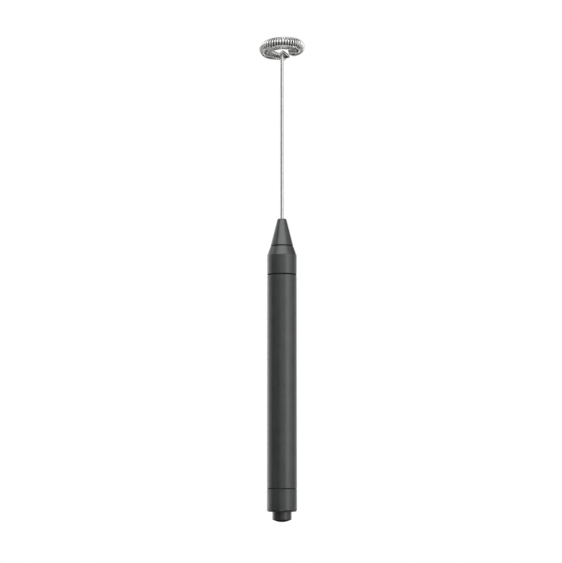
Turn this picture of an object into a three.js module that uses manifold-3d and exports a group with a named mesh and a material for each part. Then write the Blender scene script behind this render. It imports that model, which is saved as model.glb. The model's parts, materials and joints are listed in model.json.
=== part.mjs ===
// A slim battery milk frother: a 14 mm metal tube that holds two AAA cells, a small motor under a
// conical nose, a wire whisk with a coil of spring wire round its ring, and a push button in the end cap.
//
// Millimetres, +Z along the spindle towards the whisk. The origin is the middle of the barrel, on the axis.
// Names that end in _Z are heights on the axis; everything else is a length, a radius or an angle.

import * as THREE from "three";
import Module from "manifold-3d";
import { mergeVertices } from "three/addons/utils/BufferGeometryUtils.js";

const { degToRad, radToDeg, lerp, smoothstep } = THREE.MathUtils;
const FULL_TURN = 2 * Math.PI;

// ---- driving dimensions ----

const GAP = 0.3; // between two pieces that meet face to face
const SLIP = 0.1; // round a piece that turns or slides in another
const PRESS = 0.15; // round a piece that is pressed or glued into another
const EDGE = 0.2; // chamfer on an edge
const SEAM_EDGE = 0.1; // on the edges of the cap's and the cone's seams
const CAP_SEAM_DEPTH = 0.15; // where a step in the cap closes the seam

const HANDLE_RADIUS = 7;
const TUBE_WALL = 0.6;
const BARREL_LENGTH = 100.7;
const SPIGOT_RADIUS = 6.2; // the necks of cap and collar that go into the barrel

const END_CAP_LENGTH = 10.65;
const END_CAP_FLOOR = 1.2; // thickness round the button's hole
const END_CAP_ROUNDING = 0.9;
const SPIGOT_LENGTH = 5.9;
const SPIGOT_BORE = 5.2;

const BUTTON_RADIUS = 4.5;
const BUTTON_STANDS_OUT = 3.72; // its side, below the cap's rim
const BUTTON_DOME = 1.14;
const BUTTON_FLANGE_RADIUS = 5;
const BUTTON_ROOM = 4; // from the button's seat up to the switch
const SWITCH_LENGTH = 5.7; // up to the contact plate

const CELL_RADIUS = 5.2; // AAA, a little under its 10.5 mm limit
const CELL_LENGTH = 44.5;
const CELL_NUB_RADIUS = 1.9;
const CELL_NUB_HEIGHT = 1;
const LINER_INSIDE = 5.5;
const LINER_OUTSIDE = 6.1;
const BOARD_THICKNESS = 0.8;
const PLUS_ROOM = 1.2; // from the front cell up to the board, for the plus contact

const COLLAR_LENGTH = 9.2; // its cylinder, from the seam to the cone
const NOSE_SEAM_HEIGHT = 4.27; // above the collar's cylinder
const NOSE_SEAM_GAP = 0.46; // wider than GAP, because it shows as a groove
const NOSE_SEAM_RADIUS = 5.5;
const NOSE_TIP_HEIGHT = 17.65;
const TIP_RADIUS = 2.1;

const TERMINAL_ROOM = 1.3; // from the board up to the motor
const MOTOR_RADIUS = 4.9;
const MOTOR_WALL = 0.4;
const MOTOR_LENGTH = 14.3;
const SHAFT_RADIUS = 0.75;
const BUSH_RADIUS = 1.6;
const BRUSH_RADIUS = 3.2; // to the outer face of a brush strip
const BRUSH_THICKNESS = 0.3;
const BRUSH_WIDTH = 1.4;
const COMMUTATOR_DEPTH = 1.8; // into the motor, from its rear
const POLES = 3;
const ARMATURE_DEPTH = 4.5;
const ARMATURE_LENGTH = 7;
const MAGNET_LENGTH = 8.5;

const COUPLING_HEIGHT = 1.2; // above the motor's front
const COUPLING_LENGTH = 8.5;
const SHAFT_IN_COUPLING = 3.1;
const STEM_IN_COUPLING = 4;

const WIRE_RADIUS = 0.81; // the whisk's stem, spoke and ring are one wire
const SPOKE_HEIGHT = 82.05; // of the stem's top, above the nose's tip
const SPOKE_DROP = 0.85; // from the stem to the ring
const SPOKE_AZIMUTH = degToRad(64);
const STEM_BEND = 1.8;
const SPOKE_BEND = 1.3;
const RING_RADIUS = 8;
const RING_RISE = 3; // the ring climbs like one turn of a helix
const RING_LEAN = degToRad(4.1);
const RING_LEAN_AZIMUTH = degToRad(-97); // the side that leans up
const RING_END = degToRad(354); // from the spoke, round to the wire's end

const COIL_RADIUS = 2.8; // to the middle of the spring wire
const COIL_FIRST_RADIUS = 1.6; // at its first turns, by the spoke
const COIL_WIDENING = 0.4; // the share of its length over which it widens
const COIL_WIRE_RADIUS = 0.28;
const COIL_TURNS = 48;
const COIL_START = degToRad(10); // from the spoke
const COIL_END = degToRad(351);
const COIL_GRIP_RADIUS = 1.22; // the end turns close down on to the ring
const COIL_GRIP_TURNS = 0.4;

const SHELL_SEGMENTS = 32;
const INNER_SEGMENTS = 20;

// ---- heights that follow from them, from the button up ----

const BARREL_BORE = HANDLE_RADIUS - TUBE_WALL;
const BARREL_TOP_Z = BARREL_LENGTH / 2;
const BARREL_BOTTOM_Z = -BARREL_LENGTH / 2;

const CAP_SEAM_Z = BARREL_BOTTOM_Z - GAP;
const CAP_BOTTOM_Z = CAP_SEAM_Z - END_CAP_LENGTH;
const SPIGOT_TOP_Z = CAP_SEAM_Z + SPIGOT_LENGTH;
const BUTTON_SEAT_Z = CAP_BOTTOM_Z + END_CAP_FLOOR;
const SWITCH_Z = BUTTON_SEAT_Z + BUTTON_ROOM;
const PLATE_Z = SWITCH_Z + SWITCH_LENGTH;

const REAR_CELL_Z = SPIGOT_TOP_Z + GAP;
const FRONT_CELL_Z = REAR_CELL_Z + CELL_LENGTH + GAP;
const BOARD_Z = FRONT_CELL_Z + CELL_LENGTH + PLUS_ROOM;

const COLLAR_SEAM_Z = BARREL_TOP_Z + GAP;
const SHOULDER_Z = COLLAR_SEAM_Z + COLLAR_LENGTH;
const NOSE_SEAM_Z = SHOULDER_Z + NOSE_SEAM_HEIGHT;
const TIP_Z = SHOULDER_Z + NOSE_TIP_HEIGHT;

const SPOKE_Z = TIP_Z + SPOKE_HEIGHT;
const RING_START_Z = SPOKE_Z - SPOKE_DROP;

const MOTOR_REAR_Z = BOARD_Z + BOARD_THICKNESS + TERMINAL_ROOM;
const MOTOR_FRONT_Z = MOTOR_REAR_Z + MOTOR_LENGTH;
const COMMUTATOR_Z = MOTOR_REAR_Z + COMMUTATOR_DEPTH;
const ARMATURE_Z = MOTOR_REAR_Z + ARMATURE_DEPTH;
const COUPLING_Z = MOTOR_FRONT_Z + COUPLING_HEIGHT;
const COUPLING_TOP_Z = COUPLING_Z + COUPLING_LENGTH;
const SHAFT_TOP_Z = COUPLING_Z + SHAFT_IN_COUPLING;
const STEM_FOOT_Z = COUPLING_TOP_Z - STEM_IN_COUPLING;

const RUNNING_BORE = SHAFT_RADIUS + SLIP;

// ---- materials ----

const finish = (color, roughness, metalness) =>
  new THREE.MeshStandardMaterial({ color, roughness, metalness });

const darkMetal = finish(0x3c3e3d, 0.45, 0.5);
const buttonPlastic = finish(0x232323, 0.5, 0);
const steel = finish(0xc8c8c6, 0.18, 1);
const rubber = finish(0x161616, 0.8, 0);
const blackPlastic = finish(0x1c1c1e, 0.6, 0);
const whitePlastic = finish(0xe6e4dc, 0.5, 0);
const brass = finish(0xc9a24e, 0.3, 1);
const bronze = finish(0xa97142, 0.45, 1);
const copper = finish(0xb4622d, 0.35, 1);
const boardGreen = finish(0x1f5a33, 0.5, 0);
const cellJacket = finish(0x6f7678, 0.35, 0.3);
const ferrite = finish(0x3a3a3e, 0.6, 0.4);
const iron = finish(0x6d6f72, 0.5, 0.9);

// ---- shape helpers ----

// Turns a closed outline of [radius, z] points about the Z axis. An outline that starts on the axis
// ends on it; any other closes on itself.
function turned(outline, segments = INNER_SEGMENTS) {
  const points = outline.map(([radius, z]) => new THREE.Vector2(radius, z));
  if (outline[0][0] > 0) points.push(points[0].clone());
  return new THREE.LatheGeometry(points, segments).rotateX(Math.PI / 2);
}

const sleeve = (inner, outer, bottom, top, segments) =>
  turned([[inner, bottom], [outer, bottom], [outer, top], [inner, top]], segments);

// Points of an arc in the [radius, z] plane, ends included.
function arc(centreRadius, centreZ, radius, fromDegrees, toDegrees, steps) {
  return Array.from({ length: steps + 1 }, (_, i) => {
    const angle = degToRad(lerp(fromDegrees, toDegrees, i / steps));
    return [centreRadius + radius * Math.cos(angle), centreZ + radius * Math.sin(angle)];
  });
}

// A curve given by a function of 0 to 1, sampled evenly in that parameter and not by length.
class ParametricCurve extends THREE.Curve {
  constructor(pointAt) {
    super();
    this.pointAt = pointAt;
  }

  getPoint(t, target = new THREE.Vector3()) {
    return target.copy(this.pointAt(t));
  }

  getUtoTmapping(u) {
    return u;
  }
}

// A round wire of a few sides, swept along a curve in the given number of steps.
function wire(pointAt, radius, sides, steps) {
  const corners = Array.from({ length: sides }, (_, i) => {
    const angle = (FULL_TURN * i) / sides;
    return new THREE.Vector2(radius * Math.cos(angle), radius * Math.sin(angle));
  });
  return new THREE.ExtrudeGeometry(new THREE.Shape(corners), {
    steps,
    extrudePath: new ParametricCurve(pointAt),
    bevelEnabled: false,
  });
}

// A compression spring on the axis, whose end turns lie closer together than its middle ones.
function compressionSpring(bottomRadius, topRadius, bottom, top, turns, wireRadius, stepsPerTurn) {
  const closing = 0.3;
  const pointAt = (t) => {
    const climb = lerp(t, smoothstep(t, 0, 1), closing);
    const radius = lerp(bottomRadius, topRadius, t);
    return fromAxis(radius, FULL_TURN * turns * t, lerp(bottom, top, climb));
  };
  return wire(pointAt, wireRadius, 5, turns * stepsPerTurn);
}

const fromAxis = (radius, azimuth, z) =>
  new THREE.Vector3(radius * Math.cos(azimuth), radius * Math.sin(azimuth), z);

// A flat outline in X and Z, given a thickness in Y that is centred on the axis.
function slab(shape, thickness) {
  return new THREE.ExtrudeGeometry(shape, { depth: thickness, bevelEnabled: false })
    .rotateX(Math.PI / 2)
    .translate(0, thickness / 2, 0);
}

const wasm = await Module();
wasm.setup();

function solid(geometry) {
  const bare = geometry.index ? geometry.toNonIndexed() : geometry.clone();
  for (const name of ["normal", "uv"]) bare.deleteAttribute(name);
  const merged = mergeVertices(bare, 1e-3);
  return new wasm.Manifold(
    new wasm.Mesh({
      numProp: 3,
      vertProperties: new Float32Array(merged.attributes.position.array),
      triVerts: new Uint32Array(merged.index.array),
    }),
  );
}

// The first geometry with the others cut out of it.
function cut(geometry, ...tools) {
  const made = tools.reduce((rest, tool) => rest.subtract(solid(tool)), solid(geometry));
  const mesh = made.getMesh();
  return new THREE.BufferGeometry()
    .setAttribute("position", new THREE.BufferAttribute(mesh.vertProperties, 3))
    .setIndex(new THREE.BufferAttribute(mesh.triVerts, 1));
}

// ---- shells ----

// The cone is a little steeper from the collar to the seam than from the seam to the tip.
function coneRadius(z) {
  const [lowZ, lowRadius] = z < NOSE_SEAM_Z ? [SHOULDER_Z, HANDLE_RADIUS] : [TIP_Z, TIP_RADIUS];
  return lerp(lowRadius, NOSE_SEAM_RADIUS, (z - lowZ) / (NOSE_SEAM_Z - lowZ));
}

function barrelTube() {
  return turned(
    [
      [BARREL_BORE, BARREL_BOTTOM_Z],
      [HANDLE_RADIUS - SEAM_EDGE, BARREL_BOTTOM_Z],
      [HANDLE_RADIUS, BARREL_BOTTOM_Z + SEAM_EDGE],
      [HANDLE_RADIUS, BARREL_TOP_Z - EDGE],
      [HANDLE_RADIUS - EDGE, BARREL_TOP_Z],
      [BARREL_BORE, BARREL_TOP_Z],
    ],
    SHELL_SEGMENTS,
  );
}

const GROOVE_Z = CAP_SEAM_Z + 0.5; // the O-ring's groove in the cap's spigot
const GROOVE_WIDTH = 0.9;
const GROOVE_RADIUS = 5.65;

function endCap() {
  const hole = BUTTON_RADIUS + 2 * SLIP;
  const roundingRadius = HANDLE_RADIUS - END_CAP_ROUNDING;
  const roundingZ = CAP_BOTTOM_Z + END_CAP_ROUNDING;
  const stepRadius = HANDLE_RADIUS - CAP_SEAM_DEPTH;
  const stepZ = BARREL_BOTTOM_Z - SLIP;
  return turned(
    [
      [hole, CAP_BOTTOM_Z],
      ...arc(roundingRadius, roundingZ, END_CAP_ROUNDING, -90, 0, 3),
      [HANDLE_RADIUS, CAP_SEAM_Z - SEAM_EDGE],
      [HANDLE_RADIUS - SEAM_EDGE, CAP_SEAM_Z],
      [stepRadius, CAP_SEAM_Z],
      [stepRadius, stepZ],
      [SPIGOT_RADIUS, stepZ],
      [SPIGOT_RADIUS, GROOVE_Z],
      [GROOVE_RADIUS, GROOVE_Z],
      [GROOVE_RADIUS, GROOVE_Z + GROOVE_WIDTH],
      [SPIGOT_RADIUS, GROOVE_Z + GROOVE_WIDTH],
      [SPIGOT_RADIUS, SPIGOT_TOP_Z - EDGE],
      [SPIGOT_RADIUS - EDGE, SPIGOT_TOP_Z],
      [SPIGOT_BORE, SPIGOT_TOP_Z],
      [SPIGOT_BORE, BUTTON_SEAT_Z],
      [hole, BUTTON_SEAT_Z],
    ],
    SHELL_SEGMENTS,
  );
}

function capORing() {
  const thickness = 0.27; // half of it
  const middle = BARREL_BORE - PRESS - thickness;
  return turned(arc(middle, GROOVE_Z + GROOVE_WIDTH / 2, thickness, 0, 315, 7), SHELL_SEGMENTS);
}

function frontCollar() {
  const motorBore = MOTOR_RADIUS + 2 * SLIP;
  const motorStopZ = MOTOR_FRONT_Z + GAP;
  const noseBore = motorBore - 0.35;
  const neckZ = BOARD_Z + BOARD_THICKNESS + GAP;
  return turned(
    [
      [motorBore, neckZ],
      [SPIGOT_RADIUS, neckZ],
      [SPIGOT_RADIUS, COLLAR_SEAM_Z],
      [HANDLE_RADIUS - EDGE, COLLAR_SEAM_Z],
      [HANDLE_RADIUS, COLLAR_SEAM_Z + EDGE],
      [HANDLE_RADIUS, SHOULDER_Z],
      [coneRadius(NOSE_SEAM_Z - SEAM_EDGE), NOSE_SEAM_Z - SEAM_EDGE],
      [coneRadius(NOSE_SEAM_Z) - SEAM_EDGE, NOSE_SEAM_Z],
      [noseBore, NOSE_SEAM_Z],
      [noseBore, motorStopZ],
      [motorBore, motorStopZ],
    ],
    SHELL_SEGMENTS,
  );
}

// The nose's bore holds, from the tip down, a lip, the seal and the bush, then opens for the coupling.
const LIP_FOOT_Z = TIP_Z - 0.7;
const SEAL_THICKNESS = 0.45;
const SEAL_Z = LIP_FOOT_Z - 0.2 - SEAL_THICKNESS;
const BUSH_TOP_Z = SEAL_Z - 0.25;
const BUSH_SHELF_Z = TIP_Z - 4.6;
const BUSH_BORE = 1.85;

function noseCone() {
  const seamZ = NOSE_SEAM_Z + NOSE_SEAM_GAP;
  const neckZ = MOTOR_FRONT_Z + 2 * GAP;
  const neckRadius = 4.6;
  const neckBore = 3.9;
  const taperZ = seamZ + 1.5; // from here the bore narrows to the shelf under the bush
  const shelfBore = 2.5;
  const lipHole = WIRE_RADIUS + 0.42;
  return turned(
    [
      [neckBore, neckZ],
      [neckRadius, neckZ],
      [neckRadius, seamZ],
      [coneRadius(seamZ) - SEAM_EDGE, seamZ],
      [coneRadius(seamZ + SEAM_EDGE), seamZ + SEAM_EDGE],
      [coneRadius(TIP_Z - EDGE), TIP_Z - EDGE],
      [TIP_RADIUS - EDGE, TIP_Z],
      [lipHole, TIP_Z],
      [lipHole, LIP_FOOT_Z],
      [BUSH_BORE, LIP_FOOT_Z],
      [BUSH_BORE, BUSH_SHELF_Z],
      [shelfBore, BUSH_SHELF_Z],
      [neckBore, taperZ],
    ],
    SHELL_SEGMENTS,
  );
}

function noseBush() {
  return sleeve(WIRE_RADIUS + SLIP, BUSH_BORE - PRESS, BUSH_SHELF_Z + GAP, BUSH_TOP_Z);
}

function stemSeal() {
  return sleeve(WIRE_RADIUS + 0.17, BUSH_BORE - 0.2, SEAL_Z, SEAL_Z + SEAL_THICKNESS);
}

// ---- end cap contents ----

// A hollow cap with a domed face, a flange that stops it in the end cap, and a post for the plunger.
function button() {
  const edgeZ = CAP_BOTTOM_Z - BUTTON_STANDS_OUT;
  const chamfer = 0.15;
  const domeFoot = BUTTON_RADIUS - chamfer;
  const sphere = (domeFoot ** 2 + BUTTON_DOME ** 2) / (2 * BUTTON_DOME);
  const halfAngle = radToDeg(Math.asin(domeFoot / sphere));
  const flangeZ = BUTTON_SEAT_Z + SLIP;
  const flange = 1;
  const flangeTopZ = flangeZ + flange;
  const hollow = 3.4;
  const hollowZ = edgeZ + 1.92;
  const post = 1.5;
  const postTopZ = flangeTopZ + 0.6;
  return turned(
    [
      ...arc(0, edgeZ - BUTTON_DOME + sphere, sphere, -90, -90 + halfAngle, 4),
      [BUTTON_RADIUS, edgeZ + chamfer],
      [BUTTON_RADIUS, flangeZ],
      [BUTTON_FLANGE_RADIUS, flangeZ],
      [BUTTON_FLANGE_RADIUS, flangeTopZ],
      [hollow, flangeTopZ],
      [hollow, hollowZ],
      [post, hollowZ],
      [post, postTopZ],
      [0, postTopZ],
    ],
    SHELL_SEGMENTS,
  );
}

const SWITCH_FLOOR = 0.8;
const PLUNGER_RADIUS = 1.1;

// A cup whose floor the plunger comes through.
function switchHousing() {
  const hole = PLUNGER_RADIUS + 0.25;
  const inside = 2.6;
  const outside = SPIGOT_BORE - 2 * SLIP;
  const top = PLATE_Z - GAP;
  return turned([
    [hole, SWITCH_Z],
    [outside, SWITCH_Z],
    [outside, top],
    [inside, top],
    [inside, SWITCH_Z + SWITCH_FLOOR],
    [hole, SWITCH_Z + SWITCH_FLOOR],
  ]);
}

const PLUNGER_HEAD_Z = SWITCH_Z + SWITCH_FLOOR + 0.2;
const PLUNGER_HEAD = 0.7;

function switchPlunger() {
  const footZ = SWITCH_Z - 2;
  const headRadius = 2.2;
  return turned([
    [0, footZ],
    [PLUNGER_RADIUS, footZ],
    [PLUNGER_RADIUS, PLUNGER_HEAD_Z],
    [headRadius, PLUNGER_HEAD_Z],
    [headRadius, PLUNGER_HEAD_Z + PLUNGER_HEAD],
    [0, PLUNGER_HEAD_Z + PLUNGER_HEAD],
  ]);
}

function switchSpring() {
  const radius = 1.6;
  const wireRadius = 0.15;
  const turns = 4;
  const foot = PLUNGER_HEAD_Z + PLUNGER_HEAD + 0.2;
  return compressionSpring(radius, radius, foot, PLATE_Z - GAP, turns, wireRadius, 8);
}

const PLATE_THICKNESS = 0.4;

// A disc with a boss in its middle that locates the tail spring.
function contactPlate() {
  const disc = 3.7;
  const boss = 1.3;
  const discTopZ = PLATE_Z + PLATE_THICKNESS;
  const bossTopZ = discTopZ + 0.6;
  return turned([
    [0, PLATE_Z],
    [disc, PLATE_Z],
    [disc, discTopZ],
    [boss, discTopZ],
    [boss, bossTopZ],
    [0, bossTopZ],
  ]);
}

// A threaded ring with a slot across it for a screwdriver blade.
function switchRetainingRing() {
  const bore = 4.05;
  const height = 1.4;
  const slotWidth = 1.2;
  const slotDepth = 0.4;
  const top = PLATE_Z + height;
  const slot = new THREE.BoxGeometry(2 * SPIGOT_RADIUS, slotWidth, 2 * slotDepth).translate(0, 0, top);
  return cut(sleeve(bore, SPIGOT_BORE - PRESS, PLATE_Z, top), slot);
}

// A cone of wire, wide on the contact plate and narrow where it meets the rear cell.
function tailSpring() {
  const wireRadius = 0.25;
  const footRadius = 3;
  const topRadius = 1.9;
  const turns = 4.5;
  const foot = PLATE_Z + PLATE_THICKNESS + wireRadius + 0.05;
  const top = REAR_CELL_Z - wireRadius - SLIP;
  return compressionSpring(footRadius, topRadius, foot, top, turns, wireRadius, 10);
}

// ---- power ----

function cell(foot) {
  const shoulder = foot + CELL_LENGTH - CELL_NUB_HEIGHT;
  const rounding = 0.3;
  return turned(
    [
      [0, foot],
      [CELL_RADIUS - rounding, foot],
      [CELL_RADIUS, foot + rounding],
      [CELL_RADIUS, shoulder - rounding],
      [CELL_RADIUS - rounding, shoulder],
      [CELL_NUB_RADIUS, shoulder],
      [CELL_NUB_RADIUS, foot + CELL_LENGTH],
      [0, foot + CELL_LENGTH],
    ],
    SHELL_SEGMENTS,
  );
}

const BOARD_HOLE = 1.1;

function contactBoard() {
  return sleeve(BOARD_HOLE, LINER_OUTSIDE, BOARD_Z, BOARD_Z + BOARD_THICKNESS, SHELL_SEGMENTS);
}

// A rivet whose head meets the front cell's nub and whose shank goes through the board.
function plusContact() {
  const headRadius = 2;
  const headZ = BOARD_Z - 0.9;
  const headTopZ = headZ + 0.6;
  const shank = BOARD_HOLE - GAP;
  const shankTopZ = BOARD_Z + BOARD_THICKNESS + 0.4;
  return turned([
    [0, headZ],
    [headRadius, headZ],
    [headRadius, headTopZ],
    [shank, headTopZ],
    [shank, shankTopZ],
    [0, shankTopZ],
  ]);
}

function batteryLiner() {
  return sleeve(LINER_INSIDE, LINER_OUTSIDE, REAR_CELL_Z, BOARD_Z - GAP, SHELL_SEGMENTS);
}

// ---- motor ----

const BUSH_SEAT = BUSH_RADIUS + PRESS;

function motorCan() {
  const inside = MOTOR_RADIUS - MOTOR_WALL;
  const frontInsideZ = MOTOR_FRONT_Z - 0.5;
  const boss = 2.2;
  const bossTopZ = MOTOR_FRONT_Z + 0.7;
  return turned(
    [
      [inside, MOTOR_REAR_Z],
      [MOTOR_RADIUS, MOTOR_REAR_Z],
      [MOTOR_RADIUS, MOTOR_FRONT_Z],
      [boss, MOTOR_FRONT_Z],
      [boss, bossTopZ],
      [BUSH_SEAT, bossTopZ],
      [BUSH_SEAT, frontInsideZ],
      [inside, frontInsideZ],
    ],
    SHELL_SEGMENTS,
  );
}

const END_BELL_Z = MOTOR_REAR_Z + SLIP;
const END_BELL_THICKNESS = 1.4;
const MOTOR_INSIDE = MOTOR_RADIUS - MOTOR_WALL - PRESS;

function motorBush(footZ, length) {
  return sleeve(RUNNING_BORE, BUSH_RADIUS, footZ, footZ + length);
}

// The plastic lid of the can, slotted for the two brush strips.
function motorEndBell() {
  const middleZ = END_BELL_Z + END_BELL_THICKNESS / 2;
  const slotX = BRUSH_RADIUS - BRUSH_THICKNESS / 2;
  const slotWidth = BRUSH_THICKNESS + 2 * GAP;
  const slotLength = BRUSH_WIDTH + 2 * GAP;
  const slots = [-slotX, slotX].map((x) =>
    new THREE.BoxGeometry(slotWidth, slotLength, 2 * END_BELL_THICKNESS).translate(x, 0, middleZ),
  );
  return cut(sleeve(BUSH_SEAT, MOTOR_INSIDE, END_BELL_Z, END_BELL_Z + END_BELL_THICKNESS), ...slots);
}

// A strip that is the terminal behind the end bell and the brush inside, bent in to the commutator.
function brush(turn) {
  const footZ = MOTOR_REAR_Z - 1;
  const topZ = COMMUTATOR_Z + 1.1;
  const tip = COMMUTATOR_RADIUS + GAP;
  const shape = new THREE.Shape()
    .moveTo(BRUSH_RADIUS, footZ)
    .lineTo(BRUSH_RADIUS, topZ)
    .lineTo(tip, topZ)
    .lineTo(tip, topZ - BRUSH_THICKNESS)
    .lineTo(BRUSH_RADIUS - BRUSH_THICKNESS, topZ - BRUSH_THICKNESS)
    .lineTo(BRUSH_RADIUS - BRUSH_THICKNESS, footZ);
  return slab(shape, BRUSH_WIDTH).rotateZ(turn);
}

function magnet(middleAngle) {
  const halfSpan = degToRad(55);
  const thickness = 0.7;
  const from = middleAngle - halfSpan;
  const to = middleAngle + halfSpan;
  const footZ = ARMATURE_Z + (ARMATURE_LENGTH - MAGNET_LENGTH) / 2;
  const shape = new THREE.Shape()
    .absarc(0, 0, MOTOR_INSIDE, from, to, false)
    .absarc(0, 0, MOTOR_INSIDE - thickness, to, from, true);
  const extrusion = { depth: MAGNET_LENGTH, bevelEnabled: false, curveSegments: 8 };
  return new THREE.ExtrudeGeometry(shape, extrusion).translate(0, 0, footZ);
}

function motorShaft() {
  const footZ = MOTOR_REAR_Z + GAP;
  return turned([[0, footZ], [SHAFT_RADIUS, footZ], [SHAFT_RADIUS, SHAFT_TOP_Z], [0, SHAFT_TOP_Z]]);
}

const COMMUTATOR_RADIUS = 1.3;

function motorCommutator() {
  const length = 1.6;
  return sleeve(RUNNING_BORE, COMMUTATOR_RADIUS, COMMUTATOR_Z, COMMUTATOR_Z + length);
}

// The iron core: a hub, and for each pole an arm with a curved shoe.
function motorArmature() {
  const hub = 1.3;
  const armHalf = 0.45;
  const shoeInside = 2.75;
  const shoeOutside = 3.3;
  const shoeHalf = degToRad(44);
  const armAtHub = Math.asin(armHalf / hub);
  const armAtShoe = Math.asin(armHalf / shoeInside);
  const polar = (radius, angle) => [radius * Math.cos(angle), radius * Math.sin(angle)];
  const shape = new THREE.Shape().moveTo(...polar(hub, -armAtHub));
  for (let pole = 0; pole < POLES; pole++) {
    const middle = (FULL_TURN * pole) / POLES;
    const nextHub = middle + FULL_TURN / POLES - armAtHub;
    shape.lineTo(...polar(shoeInside, middle - armAtShoe));
    shape.lineTo(...polar(shoeInside, middle - shoeHalf));
    shape.absarc(0, 0, shoeOutside, middle - shoeHalf, middle + shoeHalf, false);
    shape.lineTo(...polar(shoeInside, middle + shoeHalf));
    shape.lineTo(...polar(shoeInside, middle + armAtShoe));
    shape.lineTo(...polar(hub, middle + armAtHub));
    if (pole < POLES - 1) shape.lineTo(...polar(hub, nextHub));
  }
  shape.holes.push(new THREE.Path().absarc(0, 0, RUNNING_BORE, 0, FULL_TURN, true));
  const extrusion = { depth: ARMATURE_LENGTH, bevelEnabled: false, curveSegments: 10 };
  return new THREE.ExtrudeGeometry(shape, extrusion).translate(0, 0, ARMATURE_Z);
}

// The turns of wire round one arm of the armature, as one flat loop.
function motorWinding(pole) {
  const middleZ = ARMATURE_Z + ARMATURE_LENGTH / 2;
  const build = 0.4; // the bundle's thickness, and how far it is wound along the arm
  const along = 0.65;
  const middleRadius = 1.82;
  const insideHalfWidth = 0.65;
  const insideHalfLength = ARMATURE_LENGTH / 2 + 0.2;
  const loop = (Kind, halfWidth, halfLength) =>
    new Kind()
      .moveTo(-halfWidth, middleZ - halfLength)
      .lineTo(halfWidth, middleZ - halfLength)
      .lineTo(halfWidth, middleZ + halfLength)
      .lineTo(-halfWidth, middleZ + halfLength);
  const shape = loop(THREE.Shape, insideHalfWidth + build, insideHalfLength + build);
  shape.holes.push(loop(THREE.Path, insideHalfWidth, insideHalfLength));
  return slab(shape, along)
    .rotateZ(-Math.PI / 2)
    .translate(middleRadius, 0, 0)
    .rotateZ((FULL_TURN * pole) / POLES);
}

// ---- whisk ----

// A sleeve with a bore from below for the motor shaft and one from above for the stem.
function stemCoupling() {
  const outside = 2;
  const stemBore = WIRE_RADIUS + 0.12;
  return turned([
    [0, SHAFT_TOP_Z + GAP],
    [RUNNING_BORE, SHAFT_TOP_Z + GAP],
    [RUNNING_BORE, COUPLING_Z],
    [outside - EDGE, COUPLING_Z],
    [outside, COUPLING_Z + EDGE],
    [outside, COUPLING_TOP_Z - EDGE],
    [outside - EDGE, COUPLING_TOP_Z],
    [stemBore, COUPLING_TOP_Z],
    [stemBore, STEM_FOOT_Z - GAP],
    [0, STEM_FOOT_Z - GAP],
  ]);
}

// The bend out of the spoke is centred here, and touches the ring's circle at RING_START.
const BEND_CENTRE_RADIUS = RING_RADIUS - SPOKE_BEND;
const RING_START = Math.asin(SPOKE_BEND / BEND_CENTRE_RADIUS);

// A point on the ring's centreline, at an angle counted from the spoke.
function ringPoint(angle) {
  const start = fromAxis(RING_RADIUS, SPOKE_AZIMUTH + RING_START, 0);
  const point = fromAxis(RING_RADIUS, SPOKE_AZIMUTH + angle, 0);
  const uphill = fromAxis(1, RING_LEAN_AZIMUTH, 0);
  const lean = point.clone().sub(start).dot(uphill) * Math.tan(RING_LEAN);
  point.z = RING_START_Z + (RING_RISE * (angle - RING_START)) / FULL_TURN + lean;
  return point;
}

// One wire: up the stem, over into the spoke, round a bend and along the ring.
function whiskWire() {
  const foot = new THREE.Vector3(0, 0, STEM_FOOT_Z);
  const stemTop = new THREE.Vector3(0, 0, SPOKE_Z - STEM_BEND);
  const corner = new THREE.Vector3(0, 0, SPOKE_Z);
  const spokeLength = BEND_CENTRE_RADIUS * Math.cos(RING_START);
  const spokeEnd = fromAxis(spokeLength, SPOKE_AZIMUTH, RING_START_Z);
  const spokeStart = corner.clone().lerp(spokeEnd, STEM_BEND / spokeLength);
  const bendCentre = fromAxis(BEND_CENTRE_RADIUS, SPOKE_AZIMUTH + RING_START, RING_START_Z);
  const stemBend = new THREE.QuadraticBezierCurve3(stemTop, corner, spokeStart);
  const bendPoint = (t) => {
    const azimuth = SPOKE_AZIMUTH - Math.PI / 2 + t * (Math.PI / 2 + RING_START);
    return fromAxis(SPOKE_BEND, azimuth, 0).add(bendCentre);
  };
  const stretches = [
    { steps: 2, pointAt: (t) => foot.clone().lerp(stemTop, t) },
    { steps: 6, pointAt: (t) => stemBend.getPoint(t) },
    { steps: 2, pointAt: (t) => spokeStart.clone().lerp(spokeEnd, t) },
    { steps: 6, pointAt: bendPoint },
    { steps: 44, pointAt: (t) => ringPoint(lerp(RING_START, RING_END, t)) },
  ];
  const total = stretches.reduce((sum, { steps }) => sum + steps, 0);
  const pointAt = (t) => {
    let step = THREE.MathUtils.clamp(t, 0, 1) * total;
    let stretch = 0;
    while (stretch < stretches.length - 1 && step > stretches[stretch].steps) {
      step -= stretches[stretch].steps;
      stretch += 1;
    }
    return stretches[stretch].pointAt(step / stretches[stretch].steps);
  };
  return wire(pointAt, WIRE_RADIUS, 8, total);
}

// The spring wound round the ring, widening from the spoke on, its ends closed down on to the wire.
function whiskCoil() {
  const pointAt = (t) => {
    const angle = lerp(COIL_START, COIL_END, t);
    const turn = FULL_TURN * COIL_TURNS * t;
    const turnsFromEnd = Math.min(t, 1 - t) * COIL_TURNS;
    const opening = smoothstep(turnsFromEnd, 0, COIL_GRIP_TURNS);
    const openRadius = lerp(COIL_FIRST_RADIUS, COIL_RADIUS, smoothstep(t, 0, COIL_WIDENING));
    const radius = lerp(COIL_GRIP_RADIUS, openRadius, opening);
    const outward = radius * Math.cos(turn);
    const upward = radius * Math.sin(turn);
    return ringPoint(angle).add(fromAxis(outward, SPOKE_AZIMUTH + angle, upward));
  };
  return wire(pointAt, COIL_WIRE_RADIUS, 4, COIL_TURNS * 8);
}

// ---- assembly ----

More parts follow.
